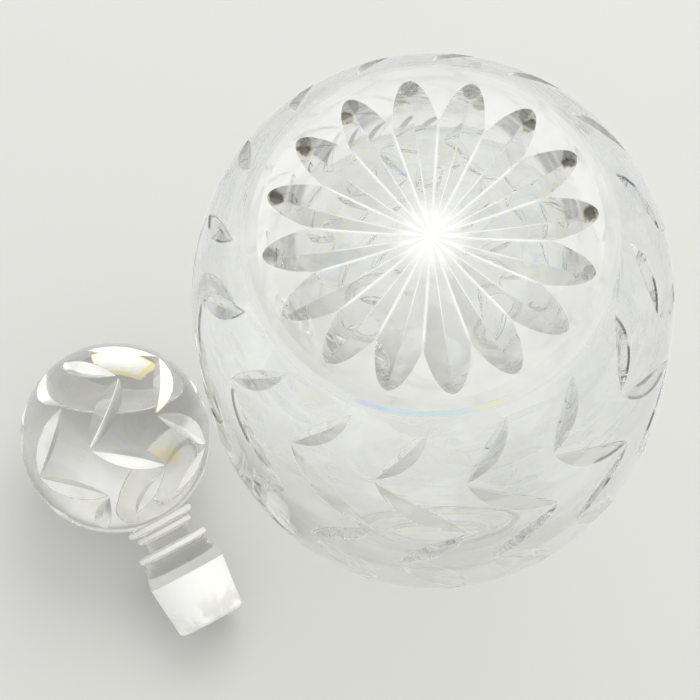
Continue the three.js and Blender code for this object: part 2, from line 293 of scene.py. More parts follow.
# Ground whites, painted highlights, painted shades and painted colours of the stopper
BALL_LEAF_START = (BALL_RADIUS - 0.08 * MM, 0.06 * MM)
BALL_KEEL = (BALL_RADIUS - 0.9 * MM, 0.9 * MM)
BALL_LEAF_HIGHLIGHT = 0.97
KEEL_DROP = 0.18
BALL_BACK = (8 * MM, 10 * MM)
BALL_SHADE = 0.28
BALL_WARMTH = 0.975
BALL_PATCH_SHADE = 0.17
CONE_SHADE = 0.08
RING_CREST = (0.8 * MM, 0.5 * MM)
RING_HIGHLIGHT = 0.75
RING_SHADE = 0.18
STEM_MIST = 0.12
END_CLEAR_SHARE = 0.6
# A painted patch of split-light colours on the ball
PRISM_WAY = (0.6, -0.435, 0.67)
PRISM_RADIUS = 5.5 * MM
PRISM_COLOURS = [
    (0, (0.5, 0.75, 1)),
    (0.35, (0.7, 0.85, 1)),
    (0.5, (1, 0.72, 0.4)),
    (0.7, (0.95, 0.85, 0.35)),
    (1, (0.8, 0.9, 0.6)),
]

# Table
TABLE_RADIUS = 8
TABLE_COLOUR = (0.71, 0.715, 0.695, 1)
# A painted glow of the table seen through the glass, and a painted pool of light gathered by the
# ball
FLOOR_GLOW = 0.97
FLOOR_GLOW_COLOUR = (0.9, 0.905, 0.89, 1)
TABLE_NEAR = (1.2, 0.6)
TABLE_FRONT = (0, 0.1)
BALL_SHADOW = (70 * MM, 35 * MM)
GATHERED_X = BALL_X - 5 * MM
GATHERED_Y = LYING_ASIDE + 2 * MM
GATHERED_SPOT = (6.7 * MM, 4.6 * MM)
GATHERED_LIGHT = 0.95

# Light. A window pane is a name, a size, a colour and a place
LIGHT_BOUNCES = 48
STUDIO_WHITE = (1, 1, 0.985, 1)
WORLD_LIGHT = 0.72
MIRRORED_LIGHT = 0.87
BACK_LIGHT = 0.09
SOFTBOX_WAY = (0.22, 0.58, 0.8)
SOFTBOX_AIM = (0, 0, 0.1)
SOFTBOX_DISTANCE = 1.6
SOFTBOX_SIZE = (1.23, 0.98)
SOFTBOX_COLOUR = (1, 0.99, 0.96)
SOFTBOX_LIGHT = 3.9
WINDOW_X = BALL_X + 12 * MM
WINDOW_Y = LYING_ASIDE + 120 * MM
WINDOW_PANES = [
    ("window", (0.086, 0.072), (1, 0.98, 0.9), (WINDOW_X - 6 * MM, WINDOW_Y, 55 * MM)),
    ("window_edge", (0.102, 0.094), (1, 0.8, 0.06), (WINDOW_X, WINDOW_Y, 60 * MM)),
]
WINDOW_LIGHT = 2.2
WINDOW_SPREAD = math.radians(90)

# Camera
CAMERA_SENSOR = 36
CAMERA_LENS = 154.3
CAMERA_RIGHT = (0.9993, 0.0124, -0.0354)
CAMERA_UP = (0, 0.94415, 0.32952)
CAMERA_PLACE = (AXIS_X + 7.9 * MM, -271.7 * MM, BODY_HEIGHT + 691.8 * MM)


# Profiles: lists of (radius, height) pairs


def arc(centre, radius, start, end, steps):
    """Part of a circle."""
    angles = np.linspace(start, end, steps + 1)
    return [(centre[0] + radius * math.cos(a), centre[1] + radius * math.sin(a)) for a in angles]


def blend(p0, p1, p2, p3, steps):
    """A cubic curve from p0 to p3."""
    out = []
    for t in np.linspace(0, 1, steps + 1):
        k = ((1 - t) ** 3, 3 * (1 - t) ** 2 * t, 3 * (1 - t) * t * t, t**3)
        out.append(tuple(sum(w * p[i] for w, p in zip(k, (p0, p1, p2, p3))) for i in range(2)))
    return out


def rounded(corners, size, steps):
    """The way through the corners, with each one between the ends rounded off."""
    out = [corners[0]]
    for before, corner, after in zip(corners, corners[1:], corners[2:]):
        ends = []
        for other in (before, after):
            way = np.subtract(other, corner)
            length = np.linalg.norm(way)
            ends.append(np.add(corner, way / length * min(size, length / 2)))
        out += blend(ends[0], corner, corner, ends[1], steps)
    return out


def outer_radius(height):
    """Outer radius of the body between its foot edge and its shoulder."""
    if height < BELLY_HEIGHT:
        below = (BELLY_HEIGHT - height) / (BELLY_HEIGHT - FOOT_CHAMFER_HEIGHT)
        foot_edge = FOOT_RADIUS + FOOT_CHAMFER_WIDTH
        return BELLY_RADIUS - (BELLY_RADIUS - foot_edge) * below**FOOT_FULLNESS
    above = (height - BELLY_HEIGHT) / SHOULDER_SPAN
    return BELLY_RADIUS * math.sqrt(max(0, 1 - above * above))


def shoulder_curve(full, span, end, steps):
    """From the belly, where the radius is full, up to where it has come down to end."""
    end_angle = math.acos(end / full)
    angles = np.linspace(0, end_angle, steps + 1)
    return [(full * math.cos(a), BELLY_HEIGHT + span * math.sin(a)) for a in angles]


def shoulder_to_wall(full, span, start, wall, wall_start, steps):
    """From the shoulder's end round into an upright wall."""
    slope = (span / full) * (start[0] / full) / ((start[1] - BELLY_HEIGHT) / span)
    reach = (start[0] - wall) / 2
    rise = (wall_start - start[1]) / 2
    return blend(
        start,
        (start[0] - reach, start[1] + reach * slope),
        (wall, wall_start - rise),
        (wall, wall_start),
        steps,
    )


def bead(root, crest, middle, width):
    """A rounded raised ring, from its lower edge to its upper one."""
    out = []
    for t in np.linspace(-1, 1, BEAD_STEPS + 1):
        bulge = math.sqrt(max(0, 1 - t * t)) ** BEAD_FULLNESS
        out.append((root + (crest - root) * bulge, middle + width / 2 * t))
    return out


def outside_profile():
    """From the middle of the base out and up to the mouth."""
    up_to_belly = np.linspace(0, 1, FOOT_POINTS) ** 1.5
    heights = FOOT_CHAMFER_HEIGHT + (BELLY_HEIGHT - FOOT_CHAMFER_HEIGHT) * up_to_belly
    foot = [(outer_radius(h), h) for h in heights]
    shoulder = shoulder_curve(BELLY_RADIUS, SHOULDER_SPAN, SHOULDER_RADIUS, SHOULDER_STEPS)
    end = shoulder[-1]
    neck = shoulder_to_wall(BELLY_RADIUS, SHOULDER_SPAN, end, NECK_RADIUS, NECK_START, BLEND_STEPS)
    bead_middle = NECK_START + NECK_LENGTH / 3
    lip = blend(
        (NECK_RADIUS, LIP_START),
        (NECK_RADIUS, LIP_START + LIP_HEIGHT / 3),
        (LIP_RADIUS - LIP_EDGE, LIP_START + LIP_HEIGHT / 3),
        (LIP_RADIUS, BODY_HEIGHT - 2 * LIP_EDGE),
        BLEND_STEPS,
    )
    lip_edge_middle = (LIP_RADIUS - LIP_EDGE, BODY_HEIGHT - LIP_EDGE)
    edge = arc(lip_edge_middle, LIP_EDGE, 0, math.pi / 2, LIP_EDGE_STEPS)
    flat = [(r, 0) for r in np.linspace(0, LAND_RADIUS - FOOT_ROUNDING, LAND_POINTS)]
    corners = [flat[-1], (LAND_RADIUS, 0), (FOOT_RADIUS, FOOT_BEVEL_HEIGHT), foot[0], foot[4]]
    base = [*flat[:-1], *rounded(corners, FOOT_ROUNDING, ROUNDING_STEPS)]
    raised = bead(NECK_RADIUS, NECK_RADIUS + BEAD_REACH, bead_middle, BEAD_WIDTH)
    return [*base, *foot[4:], *shoulder[1:], *neck[1:], *raised, *lip, *edge[1:]]


def inside_profile():
    """From the mouth back down to the middle of the floor inside."""
    throat_radius = BORE_RADIUS + SHOULDER_BLEND
    shoulder = shoulder_curve(INNER_RADIUS, INNER_SPAN, throat_radius, INNER_SHOULDER_STEPS)
    end = shoulder[-1]
    bore_end = end[1] + SHOULDER_BLEND
    throat = shoulder_to_wall(INNER_RADIUS, INNER_SPAN, end, BORE_RADIUS, bore_end, BLEND_STEPS)
    drop = BELLY_HEIGHT - BASE_THICKNESS
    power = 2 / FLOOR_FULLNESS
    floor = [
        (INNER_RADIUS * math.cos(a) ** power, BELLY_HEIGHT - drop * math.sin(a) ** power)
        for a in np.linspace(0, math.pi / 2, FLOOR_POINTS)[1:-1]
    ]
    return [
        (MOUTH_RADIUS + MOUTH_CHAMFER, BODY_HEIGHT),
        (MOUTH_RADIUS, BODY_HEIGHT - MOUTH_CHAMFER),
        (BORE_RADIUS, BODY_HEIGHT - BORE_LENGTH),
        *reversed(throat),
        *reversed(shoulder[:-1]),
        *floor,
        (0, BASE_THICKNESS),
    ]


def stopper_profile():
    """From the middle of the plug's end up to the top of the ball, and the heights along it."""
    upper_middle = BALL_BOTTOM - UPPER_RING[1] / 2
    lower_middle = upper_middle - (UPPER_RING[1] + LOWER_RING[1]) / 2
    waist_end = lower_middle - LOWER_RING[1] / 2 - WAIST[1]
    collar_middle = waist_end - COLLAR[1] / 2
    groove_end = collar_middle - COLLAR[1] / 2 - GROOVE[1]
    plug_top = groove_end - CONE_LENGTH
    plug_end = plug_top - PLUG_LENGTH
    cone = blend(
        (PLUG_TOP_RADIUS, plug_top),
        (PLUG_TOP_RADIUS, plug_top + CONE_LENGTH / 3),
        (CONE_TOP_RADIUS, groove_end - CONE_LENGTH / 3),
        (CONE_TOP_RADIUS, groove_end),
        CONE_STEPS,
    )
    ball_start = math.atan2(BALL_BOTTOM, BALL_NECK_RADIUS)
    ball = arc((0, 0), BALL_RADIUS, ball_start, math.pi / 2, BALL_STEPS)
    outline = [
        (0, plug_end),
        (PLUG_END_RADIUS - PLUG_CHAMFER, plug_end),
        (PLUG_END_RADIUS, plug_end + PLUG_CHAMFER),
        *cone,
        (GROOVE[0], groove_end),
        *bead(GROOVE[0], COLLAR[0], collar_middle, COLLAR[1]),
        (WAIST[0], waist_end),
        *bead(WAIST[0], LOWER_RING[0], lower_middle, LOWER_RING[1]),
        *bead(BALL_NECK_RADIUS, UPPER_RING[0], upper_middle, UPPER_RING[1]),
        *ball[1:-1],
        (0, BALL_RADIUS),
    ]
    return outline, plug_top, plug_end, (upper_middle, lower_middle, collar_middle)


# Meshes


def mesh_object(name, points, faces):
    """A new object with this mesh, in the scene."""
    mesh = bpy.data.meshes.new(name)
    mesh.from_pydata(points, [], faces)
    mesh.validate()
    obj = bpy.data.objects.new(name, mesh)
    bpy.context.scene.collection.objects.link(obj)
    return obj


def revolve(name, profile, steps):
    """A closed solid of revolution. The profile starts and ends on the axis."""
    rings = [p for p in profile if p[0] > ON_AXIS]
    radii = np.array([p[0] for p in rings])
    heights = np.array([p[1] for p in rings])
    angles = np.arange(steps) * 2 * math.pi / steps
    points = np.stack(
        [
            np.outer(radii, np.cos(angles)),
            np.outer(radii, np.sin(angles)),
            np.outer(heights, np.ones(steps)),
        ],
        axis=-1,
    ).reshape(-1, 3)
    first, last = len(points), len(points) + 1
    points = np.concatenate([points, [(0, 0, profile[0][1]), (0, 0, profile[-1][1])]])
    here = np.arange(steps)
    after = (here + 1) % steps
    faces = []
    for k in range(len(rings) - 1):
        a, b = k * steps, (k + 1) * steps
        faces += np.stack([a + here, a + after, b + after, b + here], axis=1).tolist()
    faces += np.stack([np.full(steps, first), after, here], axis=1).tolist()
    end = (len(rings) - 1) * steps
    faces += np.stack([np.full(steps, last), end + here, end + after], axis=1).tolist()
    return mesh_object(name, points.tolist(), faces)


def mitre_tools(name, cuts, flank):
    """Closed boats. Each cut has stations of (point, normal, along, depth), and a lid height."""
    points, faces = [], []
    for stations, lid in cuts:
        rows = []
        for i, (point, normal, along, depth) in enumerate(stations):
            if i in (0, len(stations) - 1):
                points.append(point + normal * lid)
                rows.append([len(points) - 1])
                continue
            across = np.cross(normal, along)
            across /= np.linalg.norm(across)
            half = (depth + lid) * flank
            rounding = min(KEEL_ROUNDING, half / 4)
            keel = [(rounding * a, -depth + rounding / flank * h) for a, h in KEEL_SECTION]
            section = [(-half, lid), *keel, (half, lid)]
            start = len(points)
            points += [point + across * a + normal * h for a, h in section]
            rows.append(list(range(start, start + len(section))))
        for one, two in zip(rows, rows[1:]):
            if len(one) == 1:
                faces += [(one[0], two[(j + 1) % len(two)], two[j]) for j in range(len(two))]
            elif len(two) == 1:
                faces += [(one[j], one[(j + 1) % len(one)], two[0]) for j in range(len(one))]
            else:
                n = len(one)
                faces += [(one[j], one[(j + 1) % n], two[(j + 1) % n], two[j]) for j in range(n)]
    return mesh_object(name, [tuple(p) for p in points], faces)


def boolean(target, tool, operation):
    """Cut the tool from the target, or join it on, and use it up."""
    modifier = target.modifiers.new("cut", "BOOLEAN")
    modifier.operation = operation
    modifier.solver = "MANIFOLD"
    modifier.object = tool
    depsgraph = bpy.context.evaluated_depsgraph_get()
    shaped = bpy.data.meshes.new_from_object(target.evaluated_get(depsgraph))
    target.modifiers.clear()
    target.data = shaped
    bpy.data.objects.remove(tool)
    return target


def body_surface(rise, turn):
    """A point on the uncut body, and the normal there."""
    nudge = 0.02 * MM
    radius = outer_radius(rise)
    slope = (outer_radius(rise + nudge) - outer_radius(rise - nudge)) / (2 * nudge)
    outward = np.array([math.sin(turn), math.cos(turn), 0])
    normal = outward - np.array([0, 0, slope])
    return outward * radius + np.array([0, 0, rise]), normal / np.linalg.norm(normal)


def ball_surface(rise, turn):
    """A point on the uncut ball, and the normal there. The rise is an angle from the ball's top."""
    out = math.sin(rise)
    normal = np.array([out * math.cos(turn), out * math.sin(turn), math.cos(rise)])
    return normal * BALL_RADIUS, normal


def leaf(surface, start, end, depth):
    """A leaf-shaped cut from one place on the surface to another."""
    first, last = surface(*start)[0], surface(*end)[0]
    gap = LEAF_TIP_GAP / np.linalg.norm(last - first)

    def at(t):
        s = gap + (1 - 2 * gap) * t
        return surface(start[0] + (end[0] - start[0]) * s, start[1] + (end[1] - start[1]) * s)

    stations = []
    for t in np.linspace(-LEAF_OVERRUN, 1 + LEAF_OVERRUN, LEAF_STEPS + 1):
        point, normal = at(t)
        along = at(t + 0.01)[0] - at(t - 0.01)[0]
        stations.append((point, normal, along, 4 * depth * t * (1 - t)))
    return stations, 4 * depth * LEAF_OVERRUN * (1 + LEAF_OVERRUN)


def zigzags(surface, count, start, leaves):
    """Columns of leaves round the piece, each leaf starting where the last one ended."""
    cuts = []
    for column in range(count):
        shift = column * 2 * math.pi / count
        here = (start[0], math.radians(start[1]) + shift)
        for rise, turn, depth in leaves:
            there = (here[0] + rise, math.radians(turn) + shift)
            cuts.append(leaf(surface, here, there, depth))
            here = there
    return cuts


def petal_depth(out):
    """Depth of a petal's keel this far out from the star's middle."""
    if out < PETAL_DEEPEST_AT:
        share = math.sin(out / PETAL_DEEPEST_AT * math.pi / 2)
        return PETAL_CENTRE_DEPTH + (PETAL_DEPTH - PETAL_CENTRE_DEPTH) * share
    past = (out - PETAL_DEEPEST_AT) / (PETAL_LENGTH - PETAL_DEEPEST_AT)
    left = 1 - past * past
    return PETAL_DEPTH * math.copysign(math.sqrt(abs(left)), left)


def star_tool():
    """All the petals in one tool. Each stroke cuts two petals that lie opposite each other."""
    inner = np.linspace(0, PETAL_DEEPEST_AT, PETAL_STEPS // 2 + 1)[1:]
    turns = np.linspace(0, math.pi / 2, PETAL_STEPS + 1)[1:]
    outer = PETAL_DEEPEST_AT + (PETAL_LENGTH - PETAL_DEEPEST_AT) * np.sin(turns)
    tip = PETAL_LENGTH + PETAL_OVERRUN
    half = np.array([*inner, *outer, tip])
    tool = None
    for pair in range(PETALS // 2):
        turn = PETAL_TURN + pair * 2 * math.pi / PETALS
        along = np.array([math.sin(turn), math.cos(turn), 0])
        normal = np.array([0, 0, -1.0])
        stations = [
            (along * t, normal, along, petal_depth(abs(t)))
            for t in (*-half[::-1], 0, *half)
        ]
        one = mitre_tools("petals", [(stations, -petal_depth(tip))], PETAL_FLANK)
        tool = one if tool is None else boolean(tool, one, "UNION")
    return tool


def finish_glass(obj, matrix, node, body, material):
    """Set a piece in its place, with its material, its body and the solid that it replaces."""
    obj.data.transform(matrix)
    obj.data.materials.clear()
    obj.data.materials.append(material)
    obj.data.polygons.foreach_set("material_index", [0] * len(obj.data.polygons))
    obj.data.update()
    obj.data.shade_smooth()
    obj.data.set_sharp_from_angle(angle=SHARP_ANGLE)
    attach(obj, body)
    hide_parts(node)


def make_decanter():
    """The bottle, turned, then cut with its leaves and its star, and set on its mouth."""
    body = revolve("cut_decanter", [*outside_profile(), *inside_profile()], ROUND_STEPS)
    cuts = zigzags(body_surface, COLUMNS, COLUMN_START, COLUMN_LEAVES)
    boolean(body, mitre_tools("leaves", cuts, LEAF_FLANK), "DIFFERENCE")
    boolean(body, star_tool(), "DIFFERENCE")
    turned = Matrix.Translation((AXIS_X, 0, BODY_HEIGHT)) @ Matrix.Rotation(math.pi, 4, "X")
    glass = crystal("cut_crystal", decanter_finish_and_painted_light, DECANTER_LETS_THROUGH, DECANTER_GLOW)
    finish_glass(body, turned, "decanter_body", "decanter", glass)


def lying_matrix(plug_end):
    """Where the stopper lies, with its ball and the rim of its plug on the table."""
    rim = -plug_end - PLUG_CHAMFER
    to_rim = math.hypot(rim, PLUG_END_RADIUS)
    dip = math.asin(BALL_RADIUS / to_rim) - math.atan2(PLUG_END_RADIUS, rim)
    place = Matrix.Translation((BALL_X, LYING_ASIDE, BALL_RADIUS))
    heading = Matrix.Rotation(PLUG_HEADING, 4, "Z")
    return place @ heading @ Matrix.Rotation(dip - math.pi / 2, 4, "Y")


def make_stopper():
    """The stopper, turned, then cut with its ball's leaves, and laid beside the bottle."""
    stopper = revolve("cut_stopper", STOPPER_OUTLINE, BALL_ROUND_STEPS)
    cuts = zigzags(ball_surface, BALL_COLUMNS, BALL_COLUMN_START, BALL_LEAVES)
    boolean(stopper, mitre_tools("ball_leaves", cuts, LEAF_FLANK), "DIFFERENCE")
    glass = crystal("stopper_crystal", stopper_finish_and_painted_light, STOPPER_LETS_THROUGH, STOPPER_GLOW)
    finish_glass(stopper, STOPPER_MATRIX, "stopper", "loose_stopper", glass)


# Shader networks


class Value:
    """A socket that can stand in arithmetic: each operator adds its Math node."""

    def __init__(self, graph, socket):
        self.graph = graph
        self.socket = socket

    def math(self, operation, *values):
        return self.graph.value("ShaderNodeMath", {"operation": operation}, values)

    def of(self, operation):
        """Sine, sign and the like."""
        return self.math(operation, self)

    def __add__(self, other):
        return self.math("ADD", self, other)

    __radd__ = __add__

    def __sub__(self, other):
        return self.math("SUBTRACT", self, other)

    def __rsub__(self, other):
        return self.math("SUBTRACT", other, self)

    def __mul__(self, other):
        return self.math("MULTIPLY", self, other)

    __rmul__ = __mul__

    def __truediv__(self, other):
        return self.math("DIVIDE", self, other)

    def __pow__(self, other):
        return self.math("POWER", self, other)

    def __abs__(self):
        return self.of("ABSOLUTE")

    def high(self, other):
        return self.math("MAXIMUM", self, other)

    def below(self, edge, soft):
        """1 well below the edge and 0 well above it, with a soft step between."""
        settings = {"interpolation_type": "SMOOTHSTEP"}
        inputs = {"Value": self, "From Min": edge - soft, "From Max": edge + soft}
        inputs |= {"To Min": 1, "To Max": 0}
        return self.graph.value("ShaderNodeMapRange", settings, inputs)


class Graph:
    """The node tree of a material or a world."""

    def __init__(self, owner):
        owner.use_nodes = True
        self.tree = owner.node_tree
        self.tree.nodes.clear()

    def node(self, kind, settings=(), inputs=()):
        """A node with these settings and socket values. A Value is linked, anything else is set."""
        made = self.tree.nodes.new(kind)
        for name, value in dict(settings).items():
            if name == "stops":
                ramp = made.color_ramp.elements
                for _ in value[2:]:
                    ramp.new(0.5)
                for stop, (place, colour) in zip(ramp, value):
                    stop.position = place
                    stop.color = (*colour, 1)
            else:
                setattr(made, name, value)
        pairs = inputs.items() if isinstance(inputs, dict) else enumerate(inputs)
        for key, value in pairs:
            if isinstance(value, Value):
                self.tree.links.new(value.socket, made.inputs[key])
            else:
                made.inputs[key].default_value = value
        return made

    def value(self, kind, settings=(), inputs=(), output=0):
        """One output of a new node."""
        return Value(self, self.node(kind, settings, inputs).outputs[output])

    def rays(self, *kinds):
        """1 for a ray of any of these kinds."""
        path = self.node("ShaderNodeLightPath").outputs
        first, *rest = [Value(self, path[kind]) for kind in kinds]
        for other in rest:
            first = first.high(other)
        return first

    def noise(self, scale, detail, place=None):
        """Cloudy noise from 0 to 1 at a place, or where the point lies on the object."""
        if place is None:
            vector = self.value("ShaderNodeTexCoord", output="Object")
        else:
            vector = self.value("ShaderNodeCombineXYZ", inputs=place)
        inputs = {"Vector": vector, "Scale": scale, "Detail": detail}
        return self.value("ShaderNodeTexNoise", inputs=inputs)

    def patches(self, scale, detail, edge, soft, place=None):
        """1 in patches where cloudy noise is over the edge, and 0 between them."""
        return 1 - self.noise(scale, detail, place).below(edge, soft)

    def ramp(self, place, stops):
        """The colour of the ramp at this place."""
        return self.value("ShaderNodeValToRGB", {"stops": stops}, [place])

    def tinted(self, tint, colour, share):
        """The tint multiplied by this share of the colour."""
        settings = {"data_type": "RGBA", "blend_type": "MULTIPLY"}
        return self.value("ShaderNodeMix", settings, {0: share, 6: tint, 7: colour}, output=2)

    def axes(self, output):
        """The three parts of one of the Texture Coordinate node's outputs."""
        whole = self.value("ShaderNodeTexCoord", output=output)
        parts = self.node("ShaderNodeSeparateXYZ", inputs=[whole]).outputs
        return [Value(self, part) for part in parts]


# Materials


def polished(graph, tint, normal):
    """Clear lead crystal."""
    inputs = {
        "Base Color": tint,
        "Roughness": 0,
        "IOR": CRYSTAL_IOR,
        "Transmission Weight": 1,
        "Normal": normal,
    }
    return graph.value("ShaderNodeBsdfPrincipled", inputs=inputs)


def ground(graph, through, glow, normal):
    """Crystal ground to a white, light-scattering face, which lets this share of light through,
    with a painted glow.
    """
    inputs = {
        "Base Color": GROUND_WHITE,
        "Roughness": GROUND_ROUGHNESS,
        "IOR": CRYSTAL_IOR,
        "Transmission Weight": through,
        "Emission Color": GLOW_COLOUR,
        "Emission Strength": glow,
        "Normal": normal,
    }
    return graph.value("ShaderNodeBsdfPrincipled", inputs=inputs)


def uneven(graph, strength, scale, height):
    """The normal of an uneven face: the ripple of acid polishing, or the grain of grinding."""
    inputs = {"Strength": strength, "Distance": height, "Height": graph.noise(scale, 2)}
    return graph.value("ShaderNodeBump", inputs=inputs)


def crystal(name, finish, lets_through, glow):
    """Polished crystal, white or misty where the finish says: ground glass, and painted highlights.
    Its tint carries painted shade and painted colours. Lamps shine through it, dimmed.
    """
    material = bpy.data.materials.new(name)
    graph = Graph(material)
    white, misty, tint = finish(graph)
    grain = uneven(graph, *GROUND_GRAIN)
    seen = polished(graph, tint, uneven(graph, *POLISH_RIPPLE))
    for share, through in [(misty, MISTY_THROUGH), (white, WHITE_THROUGH)]:
        face = ground(graph, through, glow, grain)
        seen = graph.value("ShaderNodeMixShader", inputs=[share, seen, face])
    dimmed = (lets_through, lets_through, lets_through * SHADOW_WARMTH, 1)
    shone_through = graph.value("ShaderNodeBsdfTransparent", inputs={"Color": dimmed})
    lighting = graph.rays("Is Shadow Ray", "Is Diffuse Ray")
    whole = graph.value("ShaderNodeMixShader", inputs=[lighting, seen, shone_through])
    graph.node("ShaderNodeOutputMaterial", inputs={"Surface": whole})
    return material


def outward_normal(graph):
    """The three parts of the outward normal, also for a ray that comes from inside the glass."""
    from_inside = Value(graph, graph.node("ShaderNodeNewGeometry").outputs["Backfacing"])
    return [part * (1 - 2 * from_inside) for part in graph.axes("Normal")]


def fringed(graph, tint, share, scale):
    """The tint with thin painted prismatic fringes, yellow on one side and blue on the other."""
    return graph.tinted(tint, graph.ramp(graph.noise(scale, 1), FRINGE_COLOURS), share)


# The decanter's finish, painted highlights, painted shades and painted colours


class DecanterPlace:
    """Where a point lies on the decanter, which way it faces, and which face it is on.

    It is across, y and out from the axis, under the star's face, and at a turn from -Y.
    """

    def __init__(self, graph):
        x, self.y, self.z = graph.axes("Object")
        self.facing = outward_normal(graph)
        self.across = x - AXIS_X
        self.out = (self.across * self.across + self.y * self.y) ** 0.5
        self.under = BODY_HEIGHT - self.z
        self.turn = self.across.math("ARCTAN2", self.across, -1 * self.y)
        self.behind = 1 - self.y.below(*STAR_BACK)
        self.sideways = 1 - abs(self.across).below(*STAR_SIDES)
        self.on_star = self.under.below(*STAR_DEPTH)
        self.on_wall = 1 - self.under.below(FOOT_CHAMFER_HEIGHT, 0.5 * MM)
        cut_in = 1 - self.under.below(*LAND_LEVEL)
        self.in_petal = self.on_star * cut_in * self.out.below(LAND_RADIUS, 0.1 * MM)


def petal_places(at):
    """How far a point is from its petal's keel, from the next ridge, and past the keel to -Y."""
    steps = (at.turn - PETAL_TURN) * (PETALS / 2)
    from_keel = abs(steps.of("SINE")) * at.out / (PETALS / 2)
    from_ridge = abs(steps.of("COSINE")) * at.out / (PETALS / 2)
    past_keel = (steps * 2).of("SINE").of("SIGN") * at.across.of("SIGN") * from_keel * -1
    return from_keel, from_ridge, past_keel


def star_whites(at, from_keel, from_ridge):
    """The white middle of the star, and painted highlights along the ridges and keels that run out
    of it.
    """
    centre = at.out.below(*STAR_CENTRE) * STAR_CENTRE_WHITE
    # Painted highlights: thin white lines along the ridges and keels
    ridges = from_ridge.below(*RIDGE_LINE) * at.out.below(*RIDGE_END) * RIDGE_HIGHLIGHT
    keels = from_keel.below(*KEEL_LINE) * at.out.below(*KEEL_END) * KEEL_HIGHLIGHT
    return centre.high(ridges).high(keels) * at.on_star


def petal_tips(graph, at, from_keel, past_keel):
    """The light that the petals keep under painted shade: grey caps, bands and black spots at their
    tips; and the painted yellow fringe beside the back petals' black spots.
    """
    blotches = graph.noise(*BLOTCHES) - 0.5
    rings = graph.noise(*RINGS, (at.out, 0, 0))
    streaks = graph.patches(*STREAKS, (at.across, at.y, 0))

    # Painted shade: grey caps at the tips, grey bands on the far flanks, and black spots on the
    # back petals
    to_cap = (at.out - CAP_OUT) / CAP_RADIUS
    from_cap = to_cap * to_cap + (from_keel / CAP_RADIUS) ** 2 + blotches * CAP_BLOTCHES
    cap_rim = (from_cap.below(*CAP_RIM_OUTSIDE) - from_cap.below(*CAP_RIM_INSIDE)) * 0.5
    cap = from_cap.below(*CAP_EDGE) * (0.75 + rings * 0.5) + cap_rim

    near_tip = 1 - at.out.below(PETAL_LENGTH - BAND_LENGTH, 1 * MM)
    band = past_keel.below(0, 0.15 * MM) * near_tip * at.sideways
    band = band * (1 - rings.below(*BAND_GAPS) * 0.6)

    lengthways = at.y * at.y / (at.out * at.out)
    to_spot = (at.out - SPOT_OUT + SPOT_SHIFT_IN * lengthways) / SPOT_RADIUS
    beside = (past_keel + SPOT_ASIDE - SPOT_SHIFT_ASIDE * lengthways) / SPOT_RADIUS
    from_spot = to_spot * to_spot + beside * beside + blotches * SPOT_BLOTCHES
    spot = from_spot.below(*SPOT_EDGE) * (SPOT_SHADE + SPOT_SHADE * at.sideways)
    spot = spot * (1 - rings.below(*SPOT_GAPS) * 0.4)
    # Painted yellow fringe round the black spots
    yellow = from_spot.below(*YELLOW_EDGE) * at.behind * (0.35 + 0.65 * at.sideways)

    tip = 1 - at.out.below(PETAL_LENGTH - TIP_LENGTH, 4 * MM)
    light = 1 - PETAL_SHADE * (1 - at.out.below(*PETAL_MIDDLE)) - PETAL_SHADE * 0.3
    light = light * (1 - TIP_SHADE * tip * (0.5 + streaks))
    light = light * (1 - cap * CAP_SHADE * (0.25 + 0.75 * at.behind))
    light = light * (1 - band * at.behind * BAND_SHADE) * (1 - spot * at.behind)
    return 1 - at.in_petal * (1 - light), at.in_petal * yellow


def body_slope(at):
    """How deep a point lies in the uncut body, and how far up the uncut surface faces there."""
    past_belly = ((at.under - BELLY_HEIGHT) / SHOULDER_SPAN).high(0)
    to_foot = ((BELLY_HEIGHT - at.under) / (BELLY_HEIGHT - FOOT_CHAMFER_HEIGHT)).high(0)
    narrowing = BELLY_RADIUS - FOOT_RADIUS - FOOT_CHAMFER_WIDTH
    roundness = (1 - past_belly * past_belly).high(0.01) ** 0.5
    depth = BELLY_RADIUS * roundness - narrowing * to_foot**FOOT_FULLNESS - at.out
    steepness = narrowing * FOOT_FULLNESS / (BELLY_HEIGHT - FOOT_CHAMFER_HEIGHT)
    slope = to_foot ** (FOOT_FULLNESS - 1) * steepness
    slope = slope - past_belly / roundness * (BELLY_RADIUS / SHOULDER_SPAN)
    return depth, slope / (1 + slope * slope) ** 0.5


